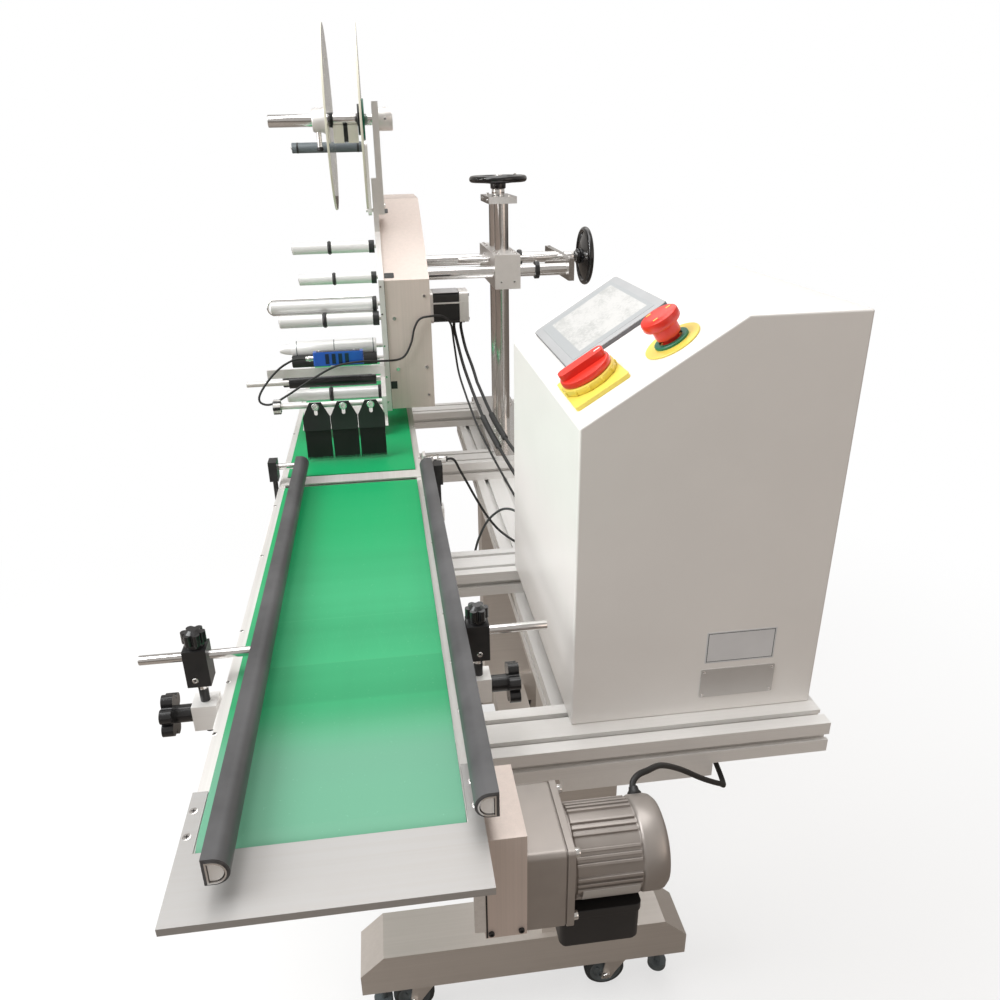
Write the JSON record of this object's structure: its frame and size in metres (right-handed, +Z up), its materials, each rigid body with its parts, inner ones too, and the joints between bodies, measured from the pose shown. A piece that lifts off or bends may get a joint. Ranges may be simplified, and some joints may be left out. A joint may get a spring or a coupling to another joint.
{
  "type": "flat surface labeling machine",
  "caption": "Flat surface labeling machine: a green belt conveyor on a castered stand, with side guides, a control cabinet, and a label head on twin posts.",
  "frame": {"origin": "centre of the part's outer box, on the floor", "axes": "+Z up, +Y along the belt away from the warning plate, +X across the belt towards the cabinet"},
  "size_m": [0.749, 1.676, 1.6649],
  "materials": {
    "stainless": "brushed",
    "grey_steel": "satin grey",
    "rail_aluminium": "anodised",
    "plate_aluminium": "machined",
    "bright_steel": "polished",
    "white_enamel": "gloss white",
    "green_belt": "smooth matt",
    "black_plastic": "matt",
    "black_rubber": "matt",
    "tyre_rubber": "matt",
    "dark_paint": "satin black",
    "motor_paint": "satin dark",
    "screen_panel": "gloss",
    "red_plastic": "gloss red",
    "white_plastic": "satin white",
    "clear_disc": "clear, glossy",
    "sensor_blue": "gloss blue"
  },
  "bodies": {
    "frame": {"base_frame": "grey_steel", "cross_rails": "rail_aluminium", "long_rails": "rail_aluminium", "conveyor_side_left": "stainless", "conveyor_side_right": "stainless", "slider_bed": "stainless", "conveyor_belt": "green_belt", "end_plate": "stainless", "chain_guard": "stainless", "gearmotor": "motor_paint", "drive_belt": "black_rubber", "guide_clamps": "stainless", "posts": "rail_aluminium", "cabinet": "white_enamel", "touch_screen": "screen_panel", "product_sensor": "bright_steel", "base_leads": "black_rubber"},
    "levellers": {"levelling_feet": "black_rubber"},
    "fork_1": {"caster_fork_1": "bright_steel"},
    "wheel_1": {"caster_wheel_1": "tyre_rubber"},
    "fork_2": {"caster_fork_2": "bright_steel"},
    "wheel_2": {"caster_wheel_2": "tyre_rubber"},
    "fork_3": {"caster_fork_3": "bright_steel"},
    "wheel_3": {"caster_wheel_3": "tyre_rubber"},
    "fork_4": {"caster_fork_4": "bright_steel"},
    "wheel_4": {"caster_wheel_4": "tyre_rubber"},
    "drive_shaft": {"drive_roller": "bright_steel"},
    "tail_shaft": {"tail_roller": "bright_steel"},
    "motor_shaft": {"motor_pulley": "bright_steel"},
    "left_carrier": {"left_guide_blocks": "black_plastic"},
    "left_rail": {"left_guide": "black_plastic"},
    "left_top_screw": {"left_top_knob": "black_plastic"},
    "left_side_screw": {"left_side_knob": "black_plastic"},
    "right_carrier": {"right_guide_blocks": "black_plastic"},
    "right_rail": {"right_guide": "black_plastic"},
    "right_top_screw": {"right_top_knob": "black_plastic"},
    "right_side_screw": {"right_side_knob": "black_plastic"},
    "estop": {"estop_button": "red_plastic"},
    "switch": {"switch_handle": "red_plastic"},
    "carriage": {"cross_block": "plate_aluminium"},
    "height_wheel": {"height_handwheel": "dark_paint"},
    "head": {"cross_arms": "bright_steel", "mounting_plate": "plate_aluminium", "head_cover": "stainless", "feed_motor": "dark_paint", "peel_plate": "stainless", "label_sensor": "sensor_blue", "head_leads": "black_rubber"},
    "cross_wheel": {"cross_handwheel": "dark_paint"},
    "reel": {"label_reel": "clear_disc"},
    "feed": {"feed_roller": "white_plastic"},
    "nip": {"nip_roller": "black_rubber"},
    "roller_1": {"guide_roller_1": "plate_aluminium"},
    "roller_2": {"guide_roller_2": "plate_aluminium"},
    "roller_3": {"guide_roller_3": "plate_aluminium"},
    "roller_4": {"guide_roller_4": "plate_aluminium"},
    "rewind": {"rewind_spool": "bright_steel"},
    "dancer": {"dancer_arm": "plate_aluminium"},
    "brush": {"brush_holder": "dark_paint", "brush_bristles": "black_plastic"}
  },
  "joints": [
    {"name": "leveller_height", "type": "slide", "parent": "frame", "child": "levellers", "axis": [0, 0, 1], "range_m": [-0.022, 0]},
    {"name": "caster_swivel_1", "type": "hinge", "parent": "frame", "child": "fork_1", "pos_m": [-0.1055, -0.261, 0.094], "axis": [0, 0, 1], "continuous": true},
    {"name": "caster_roll_1", "type": "hinge", "parent": "fork_1", "child": "wheel_1", "pos_m": [-0.1295, -0.261, 0.0375], "axis": [0, 1, 0], "continuous": true},
    {"name": "caster_swivel_2", "type": "hinge", "parent": "frame", "child": "fork_2", "pos_m": [0.2505, -0.261, 0.094], "axis": [0, 0, 1], "continuous": true},
    {"name": "caster_roll_2", "type": "hinge", "parent": "fork_2", "child": "wheel_2", "pos_m": [0.2265, -0.261, 0.0375], "axis": [0, 1, 0], "continuous": true},
    {"name": "caster_swivel_3", "type": "hinge", "parent": "frame", "child": "fork_3", "pos_m": [-0.1055, 0.499, 0.094], "axis": [0, 0, 1], "continuous": true},
    {"name": "caster_roll_3", "type": "hinge", "parent": "fork_3", "child": "wheel_3", "pos_m": [-0.1295, 0.499, 0.0375], "axis": [0, 1, 0], "continuous": true},
    {"name": "caster_swivel_4", "type": "hinge", "parent": "frame", "child": "fork_4", "pos_m": [0.2505, 0.499, 0.094], "axis": [0, 0, 1], "continuous": true},
    {"name": "caster_roll_4", "type": "hinge", "parent": "fork_4", "child": "wheel_4", "pos_m": [0.2265, 0.499, 0.0375], "axis": [0, 1, 0], "continuous": true},
    {"name": "drive_roller_turn", "type": "hinge", "parent": "frame", "child": "drive_shaft", "pos_m": [-0.1705, -0.756, 0.92], "axis": [1, 0, 0], "continuous": true},
    {"name": "tail_roller_turn", "type": "hinge", "parent": "frame", "child": "tail_shaft", "pos_m": [-0.1705, 0.804, 0.92], "axis": [1, 0, 0], "continuous": true},
    {"name": "motor_pulley_turn", "type": "hinge", "parent": "frame", "child": "motor_shaft", "pos_m": [-0.0315, -0.74, 0.869], "axis": [1, 0, 0], "continuous": true},
    {"name": "left_guide_height", "type": "slide", "parent": "frame", "child": "left_carrier", "axis": [0, 0, 1], "range_m": [0, 0.02]},
    {"name": "left_guide_width", "type": "slide", "parent": "left_carrier", "child": "left_rail", "axis": [1, 0, 0], "range_m": [-0.028, 0.01]},
    {"name": "left_top_knob_turn", "type": "hinge", "parent": "left_carrier", "child": "left_top_screw", "pos_m": [-0.3165, -0.534, 0.99], "axis": [0, 0, 1], "range_deg": [0, 360]},
    {"name": "left_side_knob_turn", "type": "hinge", "parent": "frame", "child": "left_side_screw", "pos_m": [-0.3355, -0.534, 0.905], "axis": [-1, 0, 0], "range_deg": [0, 360]},
    {"name": "right_guide_height", "type": "slide", "parent": "frame", "child": "right_carrier", "axis": [0, 0, 1], "range_m": [0, 0.02]},
    {"name": "right_guide_width", "type": "slide", "parent": "right_carrier", "child": "right_rail", "axis": [1, 0, 0], "range_m": [-0.01, 0]},
    {"name": "right_top_knob_turn", "type": "hinge", "parent": "right_carrier", "child": "right_top_screw", "pos_m": [-0.0245, -0.534, 0.99], "axis": [0, 0, 1], "range_deg": [0, 360]},
    {"name": "right_side_knob_turn", "type": "hinge", "parent": "frame", "child": "right_side_screw", "pos_m": [-0.0055, -0.534, 0.905], "axis": [1, 0, 0], "range_deg": [0, 360]},
    {"name": "estop_press", "type": "slide", "parent": "frame", "child": "estop", "axis": [-0.5365, 0, 0.8439], "range_m": [-0.004, 0], "stiffness_N_per_m": 4000},
    {"name": "switch_turn", "type": "hinge", "parent": "frame", "child": "switch", "pos_m": [0.11501, -0.455, 1.21994], "axis": [-0.5365, 0, 0.8439], "range_deg": [0, 90]},
    {"name": "head_height", "type": "slide", "parent": "frame", "child": "carriage", "axis": [0, 0, 1], "range_m": [0, 0.09]},
    {"name": "height_wheel_turn", "type": "hinge", "parent": "frame", "child": "height_wheel", "pos_m": [0.1685, 0.586, 1.38], "axis": [0, 0, 1], "range_deg": [0, 6480.5]},
    {"name": "head_cross", "type": "slide", "parent": "carriage", "child": "head", "axis": [1, 0, 0], "range_m": [-0.03, 0.06], "deforming": ["head_leads"]},
    {"name": "cross_wheel_turn", "type": "hinge", "parent": "head", "child": "cross_wheel", "pos_m": [0.3495, 0.568, 1.224], "axis": [1, 0, 0], "range_deg": [-2160.5, 4320.5]},
    {"name": "reel_turn", "type": "hinge", "parent": "head", "child": "reel", "pos_m": [-0.1405, 0.439, 1.505], "axis": [1, 0, 0], "continuous": true},
    {"name": "feed_turn", "type": "hinge", "parent": "head", "child": "feed", "pos_m": [-0.1905, 0.374, 1.088], "axis": [1, 0, 0], "continuous": true},
    {"name": "nip_turn", "type": "hinge", "parent": "head", "child": "nip", "pos_m": [-0.1905, 0.356, 1.0668], "axis": [1, 0, 0], "continuous": true},
    {"name": "guide_roller_1_turn", "type": "hinge", "parent": "head", "child": "roller_1", "pos_m": [-0.1905, 0.299, 1.013], "axis": [1, 0, 0], "continuous": true},
    {"name": "guide_roller_2_turn", "type": "hinge", "parent": "head", "child": "roller_2", "pos_m": [-0.1905, 0.309, 1.155], "axis": [1, 0, 0], "continuous": true},
    {"name": "guide_roller_3_turn", "type": "hinge", "parent": "head", "child": "roller_3", "pos_m": [-0.1905, 0.664, 1.182], "axis": [1, 0, 0], "continuous": true},
    {"name": "guide_roller_4_turn", "type": "hinge", "parent": "head", "child": "roller_4", "pos_m": [-0.1905, 0.584, 1.259], "axis": [1, 0, 0], "continuous": true},
    {"name": "rewind_turn", "type": "hinge", "parent": "head", "child": "rewind", "pos_m": [-0.1905, 0.324, 1.18], "axis": [1, 0, 0], "continuous": true},
    {"name": "dancer_swing", "type": "hinge", "parent": "head", "child": "dancer", "pos_m": [-0.1105, 0.669, 1.328], "axis": [1, 0, 0], "range_deg": [-18, 18], "stiffness_Nm_per_rad": 1.2},
    {"name": "brush_height", "type": "slide", "parent": "head", "child": "brush", "axis": [0, 0, 1], "range_m": [0, 0.012]}
  ],
  "couplings": [
    {"joint": "motor_pulley_turn", "follows": "drive_roller_turn", "ratio": 1},
    {"joint": "height_wheel_turn", "follows": "head_height", "rad_per_m": 1256.6},
    {"joint": "cross_wheel_turn", "follows": "head_cross", "rad_per_m": 1256.6},
    {"joint": "nip_turn", "follows": "feed_turn", "ratio": -1.2917}
  ]
}
